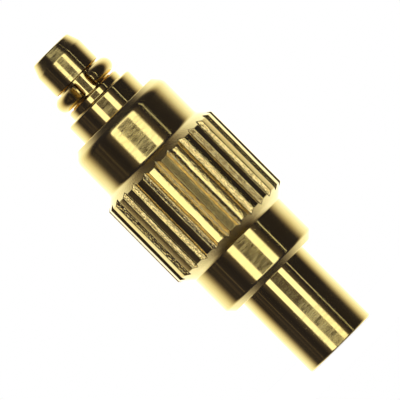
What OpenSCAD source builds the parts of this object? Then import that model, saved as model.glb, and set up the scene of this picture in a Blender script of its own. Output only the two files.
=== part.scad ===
// Coaxial adapter with a snap-in plug at its upper end and a matching jack at its lower end.
// It stands on its jack end: the axis is Z and the jack's face lies at Z = 0.
// All sizes are in millimetres.

/* [Jack tube] */
// Wall of the tube behind the groove that takes a mating snap ring
jack_wall = 0.175; // [0.12:0.005:0.4]
// Length of tube that stands out below the tail
jack_len = 4.08; // [3.4:0.02:6]
// Edge break round the outside of the jack's face
jack_edge = 0.05; // [0.02:0.01:0.08]

/* [Tail] */
// Diameter of the plain tail between the jack tube and the grip
tail_d = 5.0; // [4.4:0.1:5.6]
// Length of the tail
tail_len = 2.1; // [1:0.01:5]
// Chamfer at the tail's lower edge
tail_chamfer = 0.28; // [0.1:0.02:0.4]

/* [Grip] */
// Diameter over the knurled grip
grip_d = 6.1; // [5.6:0.1:8]
// Length of the grip with its two end bevels
grip_len = 5.08; // [2.5:0.02:10]
// Length of the bevel at each end of the grip
grip_bevel = 0.48; // [0.2:0.02:0.9]
// Number of straight grooves round the grip
groove_count = 27; // [12:1:34]
// Depth of a groove
groove_depth = 0.17; // [0.05:0.01:0.22]
// Angle between the two walls of a groove
groove_angle = 100; // [60:5:105]

/* [Head] */
// Diameter of the plain head above the grip
head_d = 5.1; // [4.7:0.1:5.6]
// Length of the head
head_len = 2.28; // [1.2:0.02:5]
// Round at the head's upper edge
head_round = 0.42; // [0.1:0.02:0.7]

/* [Plug sleeve] */
// Length of the shoulder above the head
shoulder_len = 0.97; // [0.5:0.01:3]
// Edge break on the shoulder and the barrel
sleeve_edge = 0.04; // [0.02:0.01:0.06]
// Wall of the spigot pressed into the head
spigot_wall = 0.53; // [0.2:0.01:0.6]
// Length of the spigot
spigot_len = 2.2; // [1:0.1:3]
// Outer diameter of the plug's barrel, which sets the size of both interfaces
barrel_d = 2.4; // [2.1:0.05:2.8]
// Depth of the neck under the snap ring, measured from the barrel
neck_drop = 0.16; // [0.13:0.01:0.3]
// Wall of the neck
neck_wall = 0.19; // [0.1:0.01:0.3]
// How far the relaxed ring stands out past the collar below it
ring_stand = 0.165; // [0.1:0.005:0.22]
// Length of that collar
collar_len = 0.38; // [0.3:0.01:0.7]
// Length from the shoulder's face to the nose
barrel_len = 2.89; // [2.6:0.01:3.4]
// Length of the nose cone
nose_len = 0.54; // [0.3:0.02:0.8]
// How far the nose cone narrows, on the radius
nose_drop = 0.2; // [0.05:0.01:0.22]

/* [Snap ring] */
// Thickness of the ring
ring_t = 0.36; // [0.3:0.01:0.45]
// Radial room between the relaxed ring and the neck
ring_room = 0.125; // [0.06:0.005:0.15]
// Width of the ring along the axis
ring_w = 0.68; // [0.56:0.02:0.8]
// How far the outer face is crowned
ring_crown = 0.19; // [0.06:0.01:0.2]
// How far the inner face is crowned
ring_inner_crown = 0.06; // [0.02:0.01:0.08]
// Width of the gap between the ring's ends
ring_gap = 0.78; // [0.3:0.02:1.4]
// Play of the ring at each side of its groove
ring_float = 0.1; // [0.04:0.01:0.12]

/* [Jack socket] */
// Depth of the bevel at the jack's mouth
mouth_bevel = 0.125; // [0.05:0.005:0.16]
// Clearance round a mating collar in the guide bore
guide_gap = 0.055; // [0.045:0.005:0.08]
// Clearance round a mating snap ring in its groove
snap_gap = 0.05; // [0.01:0.005:0.08]
// Room at each side of a mating snap ring
snap_room = 0.02; // [0.01:0.005:0.05]
// Clearance round a mating barrel
barrel_gap = 0.025; // [0.01:0.005:0.05]
// Room left below a mating nose
end_gap = 0.06; // [0.02:0.01:0.2]

/* [Insulators] */
// How far both insulators step out inside the body, past the plug's bore
insulator_step = 0.17; // [0.1:0.01:0.35]
// Length of the jack's insulator above its step
jack_insulator_len = 4.8; // [3:0.1:5.6]
// Depth of the plug insulator's face below the nose
insulator_recess = 1.75; // [1.4:0.05:2.2]
// Clearance between the jack's core and a mating barrel's bore
core_gap = 0.05; // [0.02:0.01:0.08]
// Length of the narrow bore that holds the jack's core
rear_web = 1.25; // [0.6:0.05:2]
// Thickness of the step that holds the plug's insulator
front_web = 0.3; // [0.2:0.02:0.6]
// Radial clearance between pieces slid into each other
slip = 0.01; // [0.005:0.005:0.02]

/* [Centre contact] */
// Diameter of the pin
pin_d = 0.4; // [0.35:0.01:0.44]
// Depth of the pin's tip below the nose
pin_recess = 0.35; // [0.1:0.05:0.8]
// Length of the pin's pointed tip
pin_tip = 0.12; // [0.05:0.01:0.16]
// Step from the pin to the rod behind it
rod_step = 0.16; // [0.05:0.01:0.22]
// Step from the socket to the collar caught between the insulators
stop_step = 0.15; // [0.05:0.01:0.3]
// Length of that collar
stop_len = 0.4; // [0.2:0.05:0.8]
// Wall of the socket
socket_wall = 0.225; // [0.15:0.005:0.26]
// Bevel at the socket's mouth
lead_in = 0.06; // [0.02:0.01:0.1]
// Depth of the socket's bore
socket_depth = 2.0; // [1.6:0.1:3]
// Depth of the socket's end below its insulator
socket_recess = 0.1; // [0.05:0.05:0.3]
// Width of the slots between the socket's fingers
slot_w = 0.12; // [0.06:0.02:0.16]
// Length of those slots
slot_len = 1.5; // [1:0.1:1.9]
// Room round the fingers so that they can spread
finger_room = 0.05; // [0.02:0.01:0.08]

/* [Hidden] */
$fn = 96;

// How far a cutter runs past the surface that it cuts
over = 0.2;

// Plug interface, from the barrel's diameter in and out
neck_d = barrel_d - 2 * neck_drop;
plug_bore_d = neck_d - 2 * neck_wall;
ring_d = neck_d + 2 * ring_room + 2 * ring_t;
collar_d = ring_d - 2 * ring_stand;
nose_d = barrel_d - 2 * nose_drop;

// Jack interface: each bore is the mating piece's diameter and a clearance
guide_r = collar_d / 2 + guide_gap;
snap_r = ring_d / 2 + snap_gap;
jack_bore_r = barrel_d / 2 + barrel_gap;
core_r = plug_bore_d / 2 - core_gap;
jack_d = 2 * (snap_r + jack_wall);

// The shoulder is as wide as the jack's tube that stops against it
shoulder_d = jack_d;

// Insulators, spigot and centre contact
insulator_d = plug_bore_d + 2 * insulator_step;
spigot_d = insulator_d + 2 * spigot_wall;
rod_d = pin_d + 2 * rod_step;
socket_d = pin_d + 2 * socket_wall;
stop_d = socket_d + 2 * stop_step;

// Heights of the outer steps, from the jack's face up
tail_z = jack_len;
grip_z = tail_z + tail_len;
head_z = grip_z + grip_len;
face_z = head_z + head_len;
seat_z = face_z + shoulder_len;
nose_z = seat_z + barrel_len;

// Plug end: ring groove, nose cone, spigot and insulator step
groove_z0 = seat_z + collar_len;
groove_z1 = groove_z0 + ring_w + 2 * ring_float;
ring_z = (groove_z0 + groove_z1) / 2;
cone_z = nose_z - nose_len;
spigot_z = face_z - spigot_len;
step_z = seat_z - front_web;
plug_insulator_z = nose_z - insulator_recess;

// Jack end: every depth follows from the plug that would enter it
ring_depth = ring_z - seat_z;
snap_z0 = ring_depth - ring_w / 2 - snap_room;
snap_z1 = ring_depth + ring_w / 2 + snap_room;
jack_depth = barrel_len + end_gap;
web_z = jack_depth + rear_web;
core_z = barrel_len - insulator_recess + end_gap;
split_z = web_z + jack_insulator_len;

// Heights along the centre contact
socket_z = core_z + socket_recess;
stop_z = split_z + stop_len;
pin_z = nose_z - pin_recess;
finger_z = socket_z + slot_len + finger_room;

// Radius of a circle that rises by a crown over a chord of the ring's width
function crown_r(crown) = (pow(ring_w / 2, 2) + crown * crown) / (2 * crown);

// The grip's first land faces the viewer, a little to +X of -Y
land_turn = -90 + 3.6;
// The middle of the ring's gap, on the same side
gap_turn = -90 + 0.5;

// Half section of a turned length with one radius
module turned(r, z0, z1) {
    translate([0, z0])
        square([r, z1 - z0]);
}

// Half section of a turned length whose radius goes from r0 to r1
module coned(r0, r1, z0, z1) {
    polygon([[0, z0], [r0, z0], [r1, z1], [0, z1]]);
}

// Half section of the body's outside: jack tube, tail, grip and head
module body_outline() {
    coned(jack_d / 2 - jack_edge, jack_d / 2, 0, jack_edge);
    turned(jack_d / 2, jack_edge, tail_z);
    coned(tail_d / 2 - tail_chamfer, tail_d / 2, tail_z, tail_z + tail_chamfer);
    turned(tail_d / 2, tail_z + tail_chamfer, grip_z);
    coned(tail_d / 2, grip_d / 2, grip_z, grip_z + grip_bevel);
    turned(grip_d / 2, grip_z + grip_bevel, head_z - grip_bevel);
    coned(grip_d / 2, head_d / 2, head_z - grip_bevel, head_z);
    turned(head_d / 2, head_z, face_z - head_round);
    turned(head_d / 2 - head_round, head_z, face_z);
    translate([head_d / 2 - head_round, face_z - head_round])
        circle(head_round);
}

// Half section of the body's bore, from the jack's mouth to the spigot's seat
module body_bore() {
    coned(guide_r + mouth_bevel, guide_r, 0, mouth_bevel);
    turned(guide_r, mouth_bevel, snap_z0);
    coned(guide_r, snap_r, snap_z0, snap_z0 + snap_r - guide_r);
    turned(snap_r, snap_z0 + snap_r - guide_r, snap_z1);
    turned(jack_bore_r, snap_z1, jack_depth);
    turned(core_r + slip, jack_depth, web_z);
    turned(insulator_d / 2 + slip, web_z, spigot_z);
    turned(spigot_d / 2 + slip, spigot_z, face_z);
}

// One straight V groove along the grip, cut down to its root radius
module knurl_groove() {
    root = grip_d / 2 - groove_depth;
    top = grip_d / 2 + over;
    half = (top - root) * tan(groove_angle / 2);
    translate([0, 0, grip_z])
        linear_extrude(grip_len)
            polygon([[root, 0], [top, -half], [top, half]]);
}

module grip_body() {
    color("gold")
        difference() {
            rotate_extrude()
                difference() {
                    body_outline();
                    body_bore();
                }
            for (i = [0 : groove_count - 1])
                rotate(land_turn + (i + 0.5) * 360 / groove_count)
                    knurl_groove();
        }
}

// Half section of the sleeve's outside: spigot, shoulder, collar, neck, barrel and nose
module sleeve_outline() {
    turned(spigot_d / 2, spigot_z, face_z);
    turned(shoulder_d / 2, face_z, seat_z - sleeve_edge);
    coned(shoulder_d / 2, shoulder_d / 2 - sleeve_edge, seat_z - sleeve_edge, seat_z);
    turned(collar_d / 2, seat_z, groove_z0);
    turned(neck_d / 2, groove_z0, groove_z1);
    coned(barrel_d / 2 - sleeve_edge, barrel_d / 2, groove_z1, groove_z1 + sleeve_edge);
    turned(barrel_d / 2, groove_z1 + sleeve_edge, cone_z);
    coned(barrel_d / 2, nose_d / 2, cone_z, nose_z - sleeve_edge);
    coned(nose_d / 2, nose_d / 2 - sleeve_edge, nose_z - sleeve_edge, nose_z);
}

// Half section of the sleeve's bore
module sleeve_bore() {
    turned(insulator_d / 2 + slip, spigot_z, step_z);
    turned(plug_bore_d / 2, step_z, nose_z - sleeve_edge);
    coned(plug_bore_d / 2, plug_bore_d / 2 + sleeve_edge, nose_z - sleeve_edge, nose_z);
}

module plug_sleeve() {
    color("goldenrod")
        rotate_extrude()
            difference() {
                sleeve_outline();
                sleeve_bore();
            }
}

// Section of the snap ring: crowned outside and inside, flat at its two sides
module ring_section() {
    outer_r = crown_r(ring_crown);
    inner_r = crown_r(ring_inner_crown);
    intersection() {
        translate([ring_d / 2 - ring_t, -ring_w / 2])
            square([ring_t, ring_w]);
        translate([ring_d / 2 - outer_r, 0])
            circle(outer_r);
        translate([ring_d / 2 - ring_t + inner_r, 0])
            circle(inner_r);
    }
}

module snap_ring() {
    color("khaki")
        translate([0, 0, ring_z])
            difference() {
                rotate_extrude()
                    ring_section();
                rotate(gap_turn)
                    translate([0, -ring_gap / 2, -ring_w / 2 - over])
                        cube([ring_d / 2 + over, ring_gap, ring_w + 2 * over]);
            }
}

// Half section of the contact's outside: socket, stop collar, rod and pin
module contact_outline() {
    turned(socket_d / 2, socket_z, split_z);
    turned(stop_d / 2, split_z, stop_z);
    turned(rod_d / 2, stop_z, plug_insulator_z);
    turned(pin_d / 2, plug_insulator_z, pin_z - pin_tip);
    coned(pin_d / 2, pin_d / 2 - pin_tip, pin_z - pin_tip, pin_z);
}

// One slot right across the socket
module socket_slot() {
    translate([-slot_w / 2, -socket_d / 2 - over, socket_z - over])
        cube([slot_w, socket_d + 2 * over, slot_len + over]);
}

module centre_contact() {
    color("gold")
        difference() {
            rotate_extrude()
                difference() {
                    contact_outline();
                    coned(pin_d / 2 + lead_in, pin_d / 2, socket_z, socket_z + lead_in);
                    turned(pin_d / 2, socket_z + lead_in, socket_z + socket_depth);
                }
            for (turn = [45, 135])
                rotate(turn)
                    socket_slot();
        }
}

module plug_insulator() {
    color("white")
        rotate_extrude()
            difference() {
                union() {
                    turned(insulator_d / 2, split_z, step_z);
                    turned(plug_bore_d / 2 - slip, step_z, plug_insulator_z);
                }
                turned(stop_d / 2 + slip, split_z, stop_z);
                turned(rod_d / 2 + slip, stop_z, plug_insulator_z);
            }
}

module jack_insulator() {
    color("white")
        rotate_extrude()
            difference() {
                union() {
                    turned(core_r, core_z, web_z);
                    turned(insulator_d / 2, web_z, split_z);
                }
                turned(socket_d / 2 + finger_room, core_z, finger_z);
                turned(socket_d / 2 + slip, finger_z, split_z);
            }
}

grip_body();
plug_sleeve();
snap_ring();
centre_contact();
plug_insulator();
jack_insulator();
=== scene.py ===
import math

import bpy
import numpy as np
from mathutils import Matrix, Vector


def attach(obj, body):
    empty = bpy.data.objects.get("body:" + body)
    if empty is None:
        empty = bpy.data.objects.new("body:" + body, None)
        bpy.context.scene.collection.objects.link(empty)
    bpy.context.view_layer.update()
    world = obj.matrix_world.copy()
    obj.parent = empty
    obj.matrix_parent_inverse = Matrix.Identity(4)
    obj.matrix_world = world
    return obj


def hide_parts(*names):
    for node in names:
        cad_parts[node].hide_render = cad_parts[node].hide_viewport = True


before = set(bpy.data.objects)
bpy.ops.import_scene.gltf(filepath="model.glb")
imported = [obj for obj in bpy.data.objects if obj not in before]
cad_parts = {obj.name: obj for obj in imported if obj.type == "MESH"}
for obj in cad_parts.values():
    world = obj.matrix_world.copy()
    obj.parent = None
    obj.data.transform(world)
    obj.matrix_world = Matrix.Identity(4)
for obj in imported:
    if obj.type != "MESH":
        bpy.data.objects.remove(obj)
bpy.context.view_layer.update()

MM = 0.001

# Sizes of the CAD pieces, in millimetres
TUBE_R = 1.75
TAIL_R = 2.5
GRIP_R = 3.05
HEAD_R = 2.55
TAIL_Z, GRIP_Z, HEAD_Z, FACE_Z = 4.08, 6.18, 11.26, 13.54
LENGTH = 17.4
BEVEL = 0.48
GROOVES = 27
ROOT_R = GRIP_R - 0.17
HALF_ANGLE = math.radians(100 / 2)
LAND_TURN = math.radians(-90 + 3.6)
RING_Z = 15.33
RING_R, RING_T, RING_W = 1.525, 0.36, 0.68
RING_CROWN, RING_INNER_CROWN = 0.19, 0.06
RING_GAP = 0.73
GAP_TURN = math.radians(-90 + 1.5)


# Turned shapes

def unit(x, z):
    length = math.hypot(x, z)
    return x / length, z / length


def rounded(corners, closed=True):
    """Rounds the corners (r, z, radius) of a half section that runs anticlockwise with r to the
    right and z up. Gives points (r, z, normal r, normal z), with each straight side flat."""
    points = []
    count = len(corners)
    for i, (r, z, radius) in enumerate(corners):
        if not closed and i in (0, count - 1):
            other = corners[1] if i == 0 else corners[-2]
            sign = 1 if i == 0 else -1
            tr, tz = unit(sign * (other[0] - r), sign * (other[1] - z))
            points.append((r, z, tz, -tr))
            continue
        before, after = corners[i - 1], corners[(i + 1) % count]
        t1 = unit(r - before[0], z - before[1])
        t2 = unit(after[0] - r, after[1] - z)
        turn = math.atan2(t1[0] * t2[1] - t1[1] * t2[0], t1[0] * t2[0] + t1[1] * t2[1])
        back = radius * math.tan(abs(turn) / 2)
        side = 1 if turn > 0 else -1
        n1 = (t1[1], -t1[0])
        centre = (r - t1[0] * back - side * radius * n1[0],
                  z - t1[1] * back - side * radius * n1[1])
        step = 6 if radius > 0.3 else 15 if radius > 0.04 else 30
        parts = max(2, round(abs(turn) / math.radians(step)))
        for k in range(parts + 1):
            a = turn * k / parts
            nr = n1[0] * math.cos(a) - n1[1] * math.sin(a)
            nz = n1[0] * math.sin(a) + n1[1] * math.cos(a)
            points.append((centre[0] + side * radius * nr, centre[1] + side * radius * nz, nr, nz))
    return points


def shell(name, r, z, nr, nt, nz, angles, closed=True):
    """A mesh from rows of points round the axis. r, z and the normals are arrays of rows by
    columns, in millimetres, and the rows run up the outside and down the inside."""
    rows, cols = r.shape
    cos, sin = np.cos(angles), np.sin(angles)
    co = np.stack([r * cos, r * sin, z], -1).reshape(-1, 3) * MM
    normal = np.stack([nr * cos - nt * sin, nr * sin + nt * cos, nz], -1).reshape(-1, 3)
    i = np.arange(rows if closed else rows - 1)[:, None]
    j = np.arange(cols)[None, :]
    i2, j2 = (i + 1) % rows, (j + 1) % cols
    quads = np.stack(np.broadcast_arrays(i * cols + j, i * cols + j2, i2 * cols + j2,
                                         i2 * cols + j), -1).reshape(-1, 4)
    faces = quads.tolist()
    if not closed:
        faces.append(list(range(cols))[::-1])
        faces.append(list(range((rows - 1) * cols, rows * cols)))
    return made(name, co, faces, normal)


def made(name, co, faces, normal=None):
    mesh = bpy.data.meshes.new(name)
    mesh.from_pydata(co.tolist(), [], faces)
    mesh.shade_smooth()
    if normal is not None:
        length = np.linalg.norm(normal, axis=1, keepdims=True)
        mesh.normals_split_custom_set_from_vertices((normal / length).tolist())
    piece = bpy.data.objects.new(name, mesh)
    bpy.context.scene.collection.objects.link(piece)
    return piece


def lathe(name, corners, cols, closed=True):
    p = np.array(rounded(corners, closed))
    angles = np.arange(cols) * 2 * math.pi / cols
    wide = [np.repeat(p[:, k:k + 1], cols, 1) for k in range(4)]
    return shell(name, wide[0], wide[1], wide[2], np.zeros_like(wide[0]), wide[3], angles, closed)


# The body with its knurled grip

EDGE = 0.02
CONE_STEP = 0.1
BODY_OUT = [(1.415, 0.125, 0), (1.54, 0, EDGE), (1.70, 0, EDGE), (TUBE_R, 0.05, 0.05),
            (TUBE_R, TAIL_Z, 0.03), (2.22, TAIL_Z, 0.03), (TAIL_R, 4.36, 0.18),
            (TAIL_R, GRIP_Z, 0.05),
            (TAIL_R + CONE_STEP, GRIP_Z + CONE_STEP * BEVEL / (GRIP_R - TAIL_R), 0)]
BODY_IN = [(HEAD_R + CONE_STEP, HEAD_Z - CONE_STEP * BEVEL / (GRIP_R - HEAD_R), 0),
           (HEAD_R, HEAD_Z, 0.22), (HEAD_R, 13.18, 0.5), (2.245, FACE_Z, 0.06),
           (1.56, FACE_Z, EDGE), (1.56, 11.34, EDGE), (1.03, 11.34, EDGE), (1.03, 4.20, EDGE), (0.81, 4.20, EDGE),
           (0.81, 2.95, EDGE), (1.225, 2.95, EDGE), (1.225, 1.18, EDGE), (1.575, 1.18, EDGE),
           (1.575, 0.62, EDGE), (1.415, 0.46, EDGE), (1.415, 0.125, EDGE), (1.54, 0, 0)]


def smooth_min(a, b, k):
    return np.minimum(a, b) - np.maximum(k - np.abs(a - b), 0) ** 2 / (4 * k)


PITCH = 2 * math.pi / GROOVES
ROOT_ROUND = 0.008
rng = np.random.default_rng(7)
groove_lift = rng.normal(0, 0.006, GROOVES)
land_lift = rng.normal(0, 0.004, GROOVES)
wave = rng.uniform(0, 2 * math.pi, (3, GROOVES))
wider = np.zeros(GROOVES)
wider[int(round((math.radians(-90 + 23) - LAND_TURN) / PITCH - 0.5)) % GROOVES] = math.radians(3)


def knurl_r(angle, z):
    """Radius of the knurl without its bevels. Each groove has its own small errors of depth."""
    place = (angle - LAND_TURN) / PITCH - 0.5
    n = np.round(place).astype(int) % GROOVES
    m = np.floor(place).astype(int) % GROOVES
    d = (place - np.round(place)) * PITCH
    d = d + 0.0012 * np.sin(2.1 * z + wave[0][n]) + 0.0006 * np.sin(6.3 * z + wave[1][n])
    s = np.sqrt(np.sin(d) ** 2 + ROOT_ROUND ** 2)
    root = ROOT_R + groove_lift[n] + 0.004 * np.sin(1.3 * z + wave[2][n])
    wall = root / (np.cos(d) - s / np.tan(HALF_ANGLE + wider[n]))
    return smooth_min(GRIP_R - 0.002 - np.abs(land_lift[m]) + 0 * wall, wall, 0.008)


def low_cone(z):
    return TAIL_R + (GRIP_R - TAIL_R) * (z - GRIP_Z) / BEVEL


def high_cone(z):
    return HEAD_R + (GRIP_R - HEAD_R) * (HEAD_Z - z) / BEVEL


def grip_r(angle, z):
    return smooth_min(smooth_min(knurl_r(angle, z), low_cone(z), 0.02), high_cone(z), 0.02)


def body_columns():
    """Angles of the mesh's columns: close together at each groove's root and its two edges."""
    out = math.sqrt(GRIP_R ** 2 - (ROOT_R * math.sin(HALF_ANGLE)) ** 2)
    out -= ROOT_R * math.cos(HALF_ANGLE)
    edge = math.asin(out * math.sin(HALF_ANGLE) / GRIP_R)
    steps = edge * np.array([0, 0.08, 0.17, 0.30, 0.50, 0.85, 0.96, 1, 1.04, 1.15, 1.45])
    half = PITCH / 2
    d = np.concatenate([-steps[:0:-1], steps, [half]])
    start = LAND_TURN + half
    return np.sort(np.concatenate([start + i * PITCH + d for i in range(GROOVES)]))


def grip_rows(angles):
    """Rows of the grip: they follow the edge where the bevels cut the grooves and the lands."""
    rim = smooth_min(knurl_r(angles, 0 * angles + 8.7), 0 * angles + 9, 0.01)
    low = GRIP_Z + BEVEL * (rim - TAIL_R) / (GRIP_R - TAIL_R)
    high = HEAD_Z - BEVEL * (rim - HEAD_R) / (GRIP_R - HEAD_R)
    near = [-0.06, -0.03, -0.018, -0.009, 0, 0.009, 0.018, 0.03, 0.06]
    rows = [GRIP_Z + 0.04 + (low - GRIP_Z - 0.1) * f for f in (0, 0.5)]
    rows += [low + d for d in near]
    rows += [low + 0.06 + (high - low - 0.12) * f for f in np.linspace(0, 1, 20)[1:-1]]
    rows += [high + d for d in near]
    rows += [high + 0.06 + (HEAD_Z - high - 0.15) * f for f in (0.5, 1)]
    return np.array(rows)


def make_body():
    angles = body_columns()
    cols = len(angles)
    parts = []
    for corners in (BODY_OUT, BODY_IN):
        p = np.array(rounded(corners, False)[1:-1])
        parts.append([np.repeat(p[:, k:k + 1], cols, 1) for k in range(4)])
    z = grip_rows(angles)
    a = np.repeat(angles[None, :], len(z), 0)
    r = grip_r(a, z)
    da, dz = 1e-5, 1e-4
    slope_a = (grip_r(a + da, z) - grip_r(a - da, z)) / (2 * da) / r
    slope_z = (grip_r(a, z + dz) - grip_r(a, z - dz)) / (2 * dz)
    low, high = parts
    zero = [np.zeros_like(p[0]) for p in parts]
    return shell("gold_grip",
                 np.concatenate([low[0], r, high[0]]),
                 np.concatenate([low[1], z, high[1]]),
                 np.concatenate([low[2], 1 + 0 * r, high[2]]),
                 np.concatenate([zero[0], -slope_a, zero[1]]),
                 np.concatenate([low[3], -slope_z, high[3]]), angles)


# The other pieces

SLEEVE = [(1.03, 11.34, EDGE), (1.55, 11.34, EDGE), (1.55, FACE_Z, 0.01), (TUBE_R, FACE_Z, EDGE),
          (TUBE_R, 14.51, 0.1), (1.36, 14.51, 0.08), (1.36, 14.89, 0.08), (1.04, 14.89, 0.06),
          (1.04, 15.77, 0.02), (1.2, 15.77, 0.06), (1.2, 16.86, 0.2), (1.0, 17.4, 0.09),
          (0.85, 17.4, 0.04), (0.85, 14.21, EDGE), (1.03, 14.21, EDGE)]

CONTACT = [(0.002, 3.30, 0), (0.2, 3.30, 0.01), (0.2, 1.36, 0.02), (0.26, 1.30, 0.02),
           (0.425, 1.30, 0.03), (0.425, 9.0, 0.02), (0.575, 9.0, 0.02), (0.575, 9.4, 0.02),
           (0.36, 9.4, 0.02), (0.36, 15.65, 0.02), (0.2, 15.65, 0.01), (0.2, 16.93, 0.05),
           (0.08, 17.05, 0.04), (0.002, 17.05, 0)]

PLUG_BEAD = [(0.585, 9.0, 0.02), (1.02, 9.0, 0.03), (1.02, 14.21, 0.03), (0.84, 14.21, 0.02),
             (0.84, 15.65, 0.04), (0.37, 15.65, 0.03), (0.37, 9.4, 0.02), (0.585, 9.4, 0.02)]

JACK_BEAD = [(0.475, 1.20, 0.03), (0.80, 1.20, 0.05), (0.80, 4.20, 0.02), (1.02, 4.20, 0.03),
             (1.02, 9.0, 0.03), (0.435, 9.0, 0.02), (0.435, 2.85, 0.02), (0.475, 2.85, 0.02)]


def crown_r(crown):
    return ((RING_W / 2) ** 2 + crown * crown) / (2 * crown)


def ring_section():
    """Points (r, z, normal r, normal z) round the ring's section, in millimetres."""
    out_r, in_r = crown_r(RING_CROWN), crown_r(RING_INNER_CROWN)
    half = RING_W / 2
    corners = []
    for z in np.linspace(-half, half, 15):
        corners.append((RING_R - out_r + math.sqrt(out_r ** 2 - z * z), z, 0.03))
    for z in np.linspace(half, -half, 9):
        corners.append((RING_R - RING_T + in_r - math.sqrt(in_r ** 2 - z * z), z, 0.03))
    return np.array(rounded(corners))


def make_ring():
    """The open ring: its section is swept between two parallel end faces with rounded edges."""
    p = ring_section()
    steps = 150
    across = np.array([-math.sin(GAP_TURN), math.cos(GAP_TURN), 0])

    def end(edge):
        return [(RING_GAP / 2 + edge * (1 - math.cos(a)), edge * (1 - math.sin(a)), -math.cos(a))
                for a in np.linspace(0, math.pi / 2, 5)]

    def row(turn, inset, tip):
        r, z = p[:, 0] - inset * p[:, 2], p[:, 1] - inset * p[:, 3] + RING_Z
        cos, sin = np.cos(turn), np.sin(turn)
        flat = math.sqrt(1 - tip * tip)
        co = np.stack([r * cos, r * sin, z], -1)
        normal = np.stack([p[:, 2] * cos, p[:, 2] * sin, p[:, 3]], -1) * flat + across * tip
        return co, normal

    rows = []
    blunt, keen = end(0.07), end(0.03)
    for off, inset, tip in blunt:
        rows.append(row(GAP_TURN + np.arcsin(off / (p[:, 0] - inset * p[:, 2])), inset, tip))
    first, last = (np.arcsin(side[-1][0] / p[:, 0]) for side in (blunt, keen))
    for f in np.linspace(0, 1, steps)[1:-1]:
        rows.append(row(GAP_TURN + first + (2 * math.pi - first - last) * f, 0, 0))
    for off, inset, tip in reversed(keen):
        rows.append(row(GAP_TURN - np.arcsin(off / (p[:, 0] - inset * p[:, 2])), inset, -tip))
    n, m = len(p), len(rows)
    faces = []
    for i in range(m - 1):
        for j in range(n):
            k = (j + 1) % n
            faces.append([i * n + j, (i + 1) * n + j, (i + 1) * n + k, i * n + k])
    faces.append(list(range(n)))
    faces.append(list(range((m - 1) * n, m * n))[::-1])
    co = np.concatenate([co for co, normal in rows]) * MM
    return made("gold_ring", co, faces, np.concatenate([normal for co, normal in rows]))


def cut_slots(piece):
    """Two slots right across the socket part it into four fingers."""
    for turn in (45, 135):
        bpy.ops.mesh.primitive_cube_add(size=1, location=(0, 0, 1.95 * MM),
                                        rotation=(0, 0, math.radians(turn)))
        cutter = bpy.context.object
        cutter.scale = (0.12 * MM, 1.4 * MM, 1.7 * MM)
        cut = piece.modifiers.new("slot", "BOOLEAN")
        cut.object, cut.operation, cut.solver = cutter, "DIFFERENCE", "EXACT"
        bpy.context.view_layer.objects.active = piece
        bpy.ops.object.modifier_apply(modifier="slot")
        bpy.data.objects.remove(cutter)
    piece.data.set_sharp_from_angle(angle=math.radians(32))


grip = make_body()
sleeve = lathe("gold_sleeve", SLEEVE, 256)
ring = make_ring()
contact = lathe("gold_contact", CONTACT, 96, closed=False)
cut_slots(contact)
plug_bead = lathe("plug_bead", PLUG_BEAD, 128)
jack_bead = lathe("jack_bead", JACK_BEAD, 128)


# Materials

class Tree:
    """Short calls that add nodes to a material or world and link them."""

    def __init__(self, owner):
        owner.use_nodes = True
        self.tree = owner.node_tree
        self.tree.nodes.clear()

    def add(self, kind, inputs=None, **props):
        node = self.tree.nodes.new(kind)
        for key, value in props.items():
            setattr(node, key, value)
        for key, value in (inputs or {}).items():
            self.put(node.inputs[key], value)
        return node

    def put(self, socket, value):
        if isinstance(value, bpy.types.NodeSocket):
            self.tree.links.new(value, socket)
        else:
            socket.default_value = value

    def math(self, operation, a, b=0.0, c=0.0):
        return self.add("ShaderNodeMath", {0: a, 1: b, 2: c}, operation=operation).outputs[0]

    def ramp(self, factor, stops):
        node = self.add("ShaderNodeValToRGB", {0: factor})
        ramp = node.color_ramp
        while len(ramp.elements) < len(stops):
            ramp.elements.new(0.5)
        for element, (at, value) in zip(ramp.elements, stops):
            element.position = at
            colour = value if isinstance(value, tuple) else (value,) * 3
            element.color = (*colour, 1)
        return node.outputs[0]

    def band(self, value, low, high, out_low=0.0, out_high=1.0):
        node = self.add("ShaderNodeMapRange", {0: value, 1: low, 2: high, 3: out_low, 4: out_high},
                        interpolation_type="SMOOTHSTEP")
        return node.outputs[0]

    def noise(self, vector, stretch, scale=1.0, detail=3.0, rough=0.5):
        """Noise whose cells are stretch millimetres long in x, y and z."""
        k = [1000 / s for s in stretch]
        mapped = self.add("ShaderNodeMapping", {"Vector": vector, "Scale": k})
        node = self.add("ShaderNodeTexNoise", {"Vector": mapped.outputs[0], "Scale": scale,
                                               "Detail": detail, "Roughness": rough})
        return node.outputs["Fac"]

    def mix(self, factor, a, b):
        node = self.add("ShaderNodeMix", {0: factor, 6: a, 7: b}, data_type="RGBA")
        return node.outputs[2]


def knurl_masks(t, x, y, z):
    """Masks, from 0 to 1, of the grip, of its grooves and of the roots of the grooves."""
    radius = t.math("SQRT", t.math("ADD", t.math("POWER", x, 2.0), t.math("POWER", y, 2.0)))
    low = t.math("MULTIPLY_ADD", z, (GRIP_R - TAIL_R) / BEVEL, low_cone(0) * MM)
    high = t.math("MULTIPLY_ADD", z, (HEAD_R - GRIP_R) / BEVEL, high_cone(0) * MM)
    skin = t.math("MINIMUM", t.math("MINIMUM", low, high), GRIP_R * MM)
    depth = t.math("SUBTRACT", skin, radius)
    grip = t.band(radius, (HEAD_R + 0.1) * MM, (HEAD_R + 0.2) * MM)
    groove = t.math("MULTIPLY", grip, t.band(depth, 0.01 * MM, 0.03 * MM))
    root = t.math("MULTIPLY", grip, t.band(depth, 0.07 * MM, 0.12 * MM))
    return grip, groove, root


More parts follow.
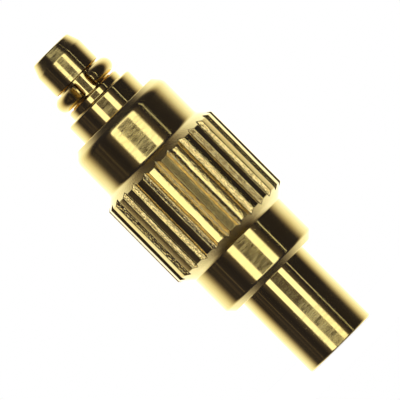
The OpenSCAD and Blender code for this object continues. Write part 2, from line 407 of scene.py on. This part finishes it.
def gold(name, finish, rough=0.07, knurled=False, rough_end_painted_light=False):
    """Bright gold plate over turned metal. The tool's fine rings blur reflections along the axis
    and hardly round it. finish gives (height in mm, how strong the rings are)."""
    material = bpy.data.materials.new(name)
    t = Tree(material)
    at = t.add("ShaderNodeTexCoord").outputs["Object"]
    x, y, z = t.add("ShaderNodeSeparateXYZ", {0: at}).outputs
    satin = t.ramp(t.math("DIVIDE", z, LENGTH * MM), [(h / LENGTH, v) for h, v in finish])
    rings = t.band(t.noise(at, (1.1, 1.1, 0.05), detail=5, rough=0.7), 0.36, 0.66)
    patch = t.noise(at, (2.2, 2.2, 1.6), detail=4)
    pits = t.noise(at, (0.06, 0.06, 0.06), detail=3, rough=0.65)
    mottle = t.band(t.noise(at, (0.5, 0.5, 0.13), detail=2), 0.36, 0.64)
    varied = t.math("MULTIPLY_ADD", rings, 0.35, t.math("MULTIPLY_ADD", mottle, 0.6, -0.47))
    middle = t.band(t.math("ABSOLUTE", x), 0.45 * MM, 0.9 * MM, 1.0, 0.15)
    uneven = t.math("MULTIPLY_ADD", varied, middle, 0.65)
    dull = t.math("MULTIPLY_ADD", uneven, satin, rough)
    dull = t.math("MULTIPLY_ADD", patch, 0.03, dull)
    fine = t.math("MULTIPLY_ADD", middle, 0.003, 0.001)
    height = t.math("MULTIPLY", pits, t.math("MULTIPLY", satin, fine))
    slant = t.add("ShaderNodeMapping", {"Vector": at, "Rotation": (0, math.radians(35), 0)})
    scratch = t.band(t.noise(slant.outputs[0], (0.03, 0.5, 0.3), detail=1), 0.74, 0.80)
    height = t.math("MULTIPLY_ADD", scratch, 0.0005, height)
    base = t.mix(t.band(patch, 0.35, 0.7), (*GOLD, 1), (*DEEP, 1))
    if knurled:
        grip, groove, root = knurl_masks(t, x, y, z)
        drag = t.noise(at, (0.05, 0.05, 0.6), detail=4, rough=0.65)
        chips = t.noise(at, (0.075, 0.075, 0.09), detail=1, rough=0.6)
        grains = t.noise(at, (0.065, 0.065, 0.065), detail=1)
        flecks = t.noise(at, (0.08, 0.08, 0.12), detail=1)
        # facing: the side towards the camera. Its grooves get coarser bumps and, below, a lighter colour that is
        # painted light.
        facing = t.band(y, -2.88 * MM, -2.74 * MM, 1.0, 0.0)
        coarse = t.math("MULTIPLY_ADD", facing, 0.003, 0.007)
        amount = t.math("MULTIPLY_ADD", groove, coarse, t.math("MULTIPLY", grip, 0.004))
        amount = t.math("MULTIPLY_ADD", root, 0.004, amount)
        rubbed = t.math("MULTIPLY_ADD", drag, 0.15, chips)
        height = t.math("MULTIPLY_ADD", rubbed, amount, height)
        dull = t.math("MULTIPLY_ADD", grip, 0.04, dull)
        dull = t.math("MULTIPLY_ADD", groove, 0.05, dull)
        dull = t.math("MULTIPLY_ADD", root, 0.05, dull)
        # Away from the camera the grooves are painted darker: painted shade in the recesses, broken by pale
        # grains.
        grains = t.band(grains, 0.40, 0.58)
        outer = t.mix(grains, (*GROOVE_PAINTED_SHADE, 1), (*PALE, 1))
        front = t.mix(t.band(flecks, 0.38, 0.6), (*GROOVE_PAINTED_LIGHT_DIM, 1), (*GROOVE_PAINTED_LIGHT, 1))
        base = t.mix(groove, base, t.mix(facing, outer, front))
    if rough_end_painted_light:
        # Near one end of the ring, on the side towards the camera: a warm painted reflection with a rougher,
        # pitted finish. The whole ring also takes a little of this warm tone as its own colour.
        ahead = t.band(y, -1.0 * MM, -0.8 * MM, 1, 0)
        beside = t.band(x, -0.70 * MM, -0.56 * MM)
        near = t.math("MULTIPLY", beside, t.band(x, -0.45 * MM, -0.38 * MM, 1, 0))
        level = t.math("ABSOLUTE", t.math("SUBTRACT", z, RING_Z * MM))
        level = t.band(level, 0.20 * MM, 0.34 * MM, 1, 0)
        near = t.math("MULTIPLY", near, t.math("MULTIPLY", ahead, level))
        base = t.mix(t.math("MAXIMUM", near, 0.16), base, (*RING_END_PAINTED_GLOW, 1))
        # The end faces and the inner face beside the gap are painted nearly black: painted shade.
        off = t.math("ABSOLUTE", t.math("SUBTRACT", x, 0.036 * MM))
        radius = t.math("SQRT", t.math("ADD", t.math("POWER", x, 2.0), t.math("POWER", y, 2.0)))
        inside = t.math("MULTIPLY", t.band(radius, 1.38 * MM, 1.42 * MM, 1, 0),
                        t.band(off, 0.50 * MM, 0.60 * MM, 1, 0))
        face = t.math("MAXIMUM", t.band(off, 0.372 * MM, 0.380 * MM, 1, 0), inside)
        face = t.math("MULTIPLY", face, ahead)
        base = t.mix(face, base, (*RING_END_PAINTED_SHADE, 1))
        dull = t.math("MULTIPLY_ADD", near, 0.62, dull)
        height = t.math("MULTIPLY_ADD", t.math("MULTIPLY", pits, near), 0.012, height)
    spots = t.band(t.noise(at, (0.12, 0.12, 0.12), detail=2), 0.68, 0.76, 0.0, 0.35)
    base = t.mix(spots, base, (*TARNISH, 1))
    bump = t.add("ShaderNodeBump", {"Height": height, "Distance": MM, "Strength": 1.0})
    around = t.add("ShaderNodeTangent", direction_type="RADIAL", axis="Z")
    shader = t.add("ShaderNodeBsdfPrincipled", {
        "Base Color": base, "Metallic": 1.0, "Roughness": dull, "Normal": bump.outputs[0],
        "Anisotropic": 1.0, "Anisotropic Rotation": 0.25, "Tangent": around.outputs[0]})
    t.add("ShaderNodeOutputMaterial", {"Surface": shader.outputs[0]})
    return material


def wax(name):
    """White turned insulator: waxy, with faint rings from the tool."""
    material = bpy.data.materials.new(name)
    t = Tree(material)
    at = t.add("ShaderNodeTexCoord").outputs["Object"]
    cloud = t.noise(at, (0.5, 0.5, 0.5), detail=3)
    rings = t.noise(at, (0.06, 0.06, 0.04), detail=3)
    base = t.mix(cloud, (0.86, 0.86, 0.83, 1), (0.93, 0.93, 0.91, 1))
    dull = t.math("ADD", 0.38, t.math("MULTIPLY", rings, 0.2))
    bump = t.add("ShaderNodeBump", {"Height": rings, "Distance": 0.004 * MM, "Strength": 1.0})
    shader = t.add("ShaderNodeBsdfPrincipled", {
        "Base Color": base, "Roughness": dull, "Normal": bump.outputs[0], "IOR": 1.35,
        "Subsurface Weight": 0.15, "Subsurface Scale": 0.3 * MM})
    t.add("ShaderNodeOutputMaterial", {"Surface": shader.outputs[0]})
    return material


GOLD = (0.955, 0.72, 0.25)
DEEP = (0.935, 0.68, 0.21)
PALE = (1.0, 0.75, 0.29)
# Painted shade for the knurl's grooves, with PALE as its lighter grains.
GROOVE_PAINTED_SHADE = (0.70, 0.475, 0.15)
# The next two paint light into the grooves on the side towards the camera.
GROOVE_PAINTED_LIGHT = (1.0, 0.80, 0.37)
GROOVE_PAINTED_LIGHT_DIM = (0.88, 0.655, 0.27)
TARNISH = (0.76, 0.52, 0.13)
# Painted warm reflection near one end of the ring.
RING_END_PAINTED_GLOW = (1.0, 0.54, 0.07)
# Painted shade, nearly black, for the ring's end faces.
RING_END_PAINTED_SHADE = (0.12, 0.06, 0.025)
BODY_FINISH = [(0, 0.17), (1.9, 0.17), (2.6, 0.07), (4.0, 0.04), (4.3, 0.11), (6.1, 0.11),
               (6.3, 0.03), (11.2, 0.03), (11.3, 0.15), (12.2, 0.18), (12.9, 0.19), (13.1, 0.08), (13.5, 0.08)]
SLEEVE_FINISH = [(13.5, 0.12), (14.5, 0.10), (14.6, 0.06), (14.85, 0.06), (14.9, 0.05),
                 (15.7, 0.05), (15.8, 0.17), (16.8, 0.17), (16.9, 0.17), (17.4, 0.17)]
PLAIN_FINISH = [(0, 0.08), (LENGTH, 0.08)]
body_gold = gold("gold_plate_body", BODY_FINISH, knurled=True)
sleeve_gold = gold("gold_plate_sleeve", SLEEVE_FINISH)
spring_gold = gold("gold_plate_spring", PLAIN_FINISH, rough_end_painted_light=True)
contact_gold = gold("gold_plate_contact", PLAIN_FINISH)
bead_white = wax("insulator_white")

PIECES = [
    (grip, body_gold, "grip_body", "adapter", "gold_body"),
    (sleeve, sleeve_gold, "plug_sleeve", "adapter", "gold_sleeve"),
    (ring, spring_gold, "snap_ring", "ring", "gold_spring"),
    (contact, contact_gold, "centre_contact", "adapter", "gold_contact"),
    (plug_bead, bead_white, "plug_insulator", "adapter", "insulator"),
    (jack_bead, bead_white, "jack_insulator", "adapter", "insulator"),
]
for piece, material, node, body, slot in PIECES:
    piece.data.materials.clear()
    piece.data.materials.append(material)
    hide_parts(node)
    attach(piece, body)


# Floor

def make_floor():
    cols, radius = 96, 0.055
    a = np.arange(cols) * 2 * math.pi / cols
    co = np.stack([radius * np.cos(a), radius * np.sin(a), 0 * a - 0.00001], -1)
    floor = made("floor", co, [list(range(cols))])
    material = bpy.data.materials.new("floor_pale")
    t = Tree(material)
    at = t.add("ShaderNodeTexCoord").outputs["Object"]
    tone = t.noise(at, (6, 6, 6), detail=3)
    pale = t.mix(tone, (0.80, 0.80, 0.80, 1), (0.82, 0.82, 0.82, 1))
    matte = t.add("ShaderNodeBsdfDiffuse", {"Color": pale})
    path = t.add("ShaderNodeLightPath")
    glow = t.add("ShaderNodeEmission", {"Strength": t.math("MULTIPLY", path.outputs[0], 0.62)})
    lit = t.add("ShaderNodeAddShader", {0: matte.outputs[0], 1: glow.outputs[0]})
    clear = t.add("ShaderNodeBsdfTransparent")
    under = t.add("ShaderNodeNewGeometry").outputs["Backfacing"]
    both = t.add("ShaderNodeMixShader", {0: under, 1: lit.outputs[0], 2: clear.outputs[0]})
    t.add("ShaderNodeOutputMaterial", {"Surface": both.outputs[0]})
    floor.data.materials.append(material)
    floor.visible_glossy = floor.visible_diffuse = floor.visible_shadow = False


make_floor()


# Studio

# Thin lights beside the camera: angle from it towards +X, half width, both in degrees, and level
LINES = [(53.6, 0.5, 1.40), (-77, 16, 0.010), (-65.2, 0.7, 0.10), (-76.5, 3, 0.020),
         (-89, 4, 0.02)]
# The square ring of light stands a little to +X of the camera, by this slope
RING_SHIFT = 0.026


def make_world():
    """A plain studio by direction: a white backdrop behind the object, a dark room in front,
    and a square ring of light round the camera's place at -Y. The camera sees plain white."""
    world = bpy.data.worlds.new("studio")
    bpy.context.scene.world = world
    t = Tree(world)
    way = t.add("ShaderNodeTexCoord").outputs["Generated"]
    x, y, z = t.add("ShaderNodeSeparateXYZ", {0: way}).outputs
    front = t.math("MULTIPLY", y, -1.0)
    away = t.math("DIVIDE", t.math("ARCCOSINE", front), math.pi)
    dark = 0.020
    backdrop = t.ramp(away, [
        (0.0, dark), (90 / 180, dark), (93.4 / 180, 0.035), (96.5 / 180, 0.08),
        (99.4 / 180, 0.155), (105.8 / 180, 0.38), (112.6 / 180, 0.64), (119 / 180, 0.85),
        (128 / 180, 1.0)])
    behind = t.band(away, 118 / 180, 165 / 180, 1.0, 1.4)
    backdrop = t.math("MULTIPLY", backdrop, behind)
    ahead = t.math("MAXIMUM", front, 0.01)
    ax = t.math("ABSOLUTE", t.math("SUBTRACT", t.math("DIVIDE", x, ahead), RING_SHIFT))
    az = t.math("DIVIDE", t.math("ABSOLUTE", z), ahead)
    both = t.math("ADD", t.math("POWER", ax, 8.0), t.math("POWER", az, 8.0))
    square = t.math("POWER", both, 1 / 8)
    ring_out = t.band(square, 0.565, 0.65, 1.0, 0.0)
    ring_in = t.band(square, 0.25, 0.295)
    light = t.math("MULTIPLY", t.math("MULTIPLY", ring_out, ring_in), 1.33)
    skirt = t.band(square, 0.6, 1.1, 0.060, 0.0)
    centre = t.math("MULTIPLY", t.math("SUBTRACT", 1.0, ring_in), 0.052)
    side = t.math("ARCTAN2", x, ahead)
    strips = 0.0
    for at, half, level in LINES:
        off = t.math("ABSOLUTE", t.math("SUBTRACT", side, math.radians(at)))
        line = t.band(off, math.radians(half * 0.6), math.radians(half * 1.4), level, 0.0)
        low = t.band(az, 0.9, 1.1, 1.0, 0.0)
        strips = t.math("ADD", strips, t.math("MULTIPLY", line, low))
    strips = t.math("ADD", strips, t.math("MULTIPLY", skirt, ring_in))
    total = t.math("ADD", t.math("ADD", light, centre), t.math("ADD", strips, backdrop))
    tint = t.ramp(total, [
        (0.020, (0.45, 0.43, 0.74)), (0.04, (0.45, 0.40, 0.56)), (0.10, (0.45, 0.40, 0.46)),
        (0.25, (0.45, 0.42, 0.43)), (0.45, (0.45, 0.44, 0.46)), (0.7, (0.45, 0.47, 0.50)),
        (1.0, (0.45, 0.49, 0.54))])
    double = t.math("MULTIPLY", total, 1 / 0.45)
    seen = t.add("ShaderNodeVectorMath", {0: tint, 1: double}, operation="MULTIPLY").outputs[0]
    steep = t.band(t.math("ABSOLUTE", z), 0.35, 0.85)
    greyer = t.add("ShaderNodeVectorMath", {0: seen, 1: (1.06, 1.10, 1.26)}, operation="MULTIPLY")
    seen = t.mix(steep, seen, greyer.outputs[0])
    camera = t.add("ShaderNodeLightPath").outputs["Is Camera Ray"]
    colour = t.mix(camera, seen, (1, 1, 1, 1))
    shown = t.add("ShaderNodeBackground", {"Color": colour, "Strength": 1.0})
    t.add("ShaderNodeOutputWorld", {"Surface": shown.outputs[0]})


make_world()


def soft_lamp(name, place, size, power):
    """A soft lamp that lights the floor and the matt pieces. Gold sees only the studio."""
    light = bpy.data.lights.new(name, "AREA")
    light.shape, light.size, light.energy = "DISK", size, power
    lamp = bpy.data.objects.new(name, light)
    lamp.location = place
    aim = Vector((0, 0, 0.008)) - Vector(place)
    lamp.rotation_mode = "QUATERNION"
    lamp.rotation_quaternion = aim.to_track_quat("-Z", "Y")
    lamp.visible_glossy = lamp.visible_camera = False
    bpy.context.scene.collection.objects.link(lamp)


soft_lamp("lamp_front", (-0.15, -0.25, 0.30), 0.25, 0.5)


# Camera

def make_camera():
    """Level with the object and far off, rolled so that the plug's end points up and left."""
    distance, view_width = 600, 16.84
    right = Vector((0.7104, 0, -0.7038))
    up = Vector((0.7038, 0, 0.7104))
    aim = Vector((0, 0, 8.7)) + right * 0.1937 - up * 0.1305
    back = Vector((0, -1, 0))
    camera = bpy.data.cameras.new("camera")
    camera.sensor_width = 36
    camera.lens = 36 * distance / view_width
    camera.clip_start, camera.clip_end = 0.01, 5
    eye = bpy.data.objects.new("camera", camera)
    eye.matrix_world = Matrix((
        (right.x, up.x, back.x, 0), (right.y, up.y, back.y, 0), (right.z, up.z, back.z, 0),
        (0, 0, 0, 1)))
    eye.location = (aim + back * distance) * MM
    bpy.context.scene.collection.objects.link(eye)
    bpy.context.scene.camera = eye


make_camera()
bpy.context.scene.view_settings.view_transform = "Standard"
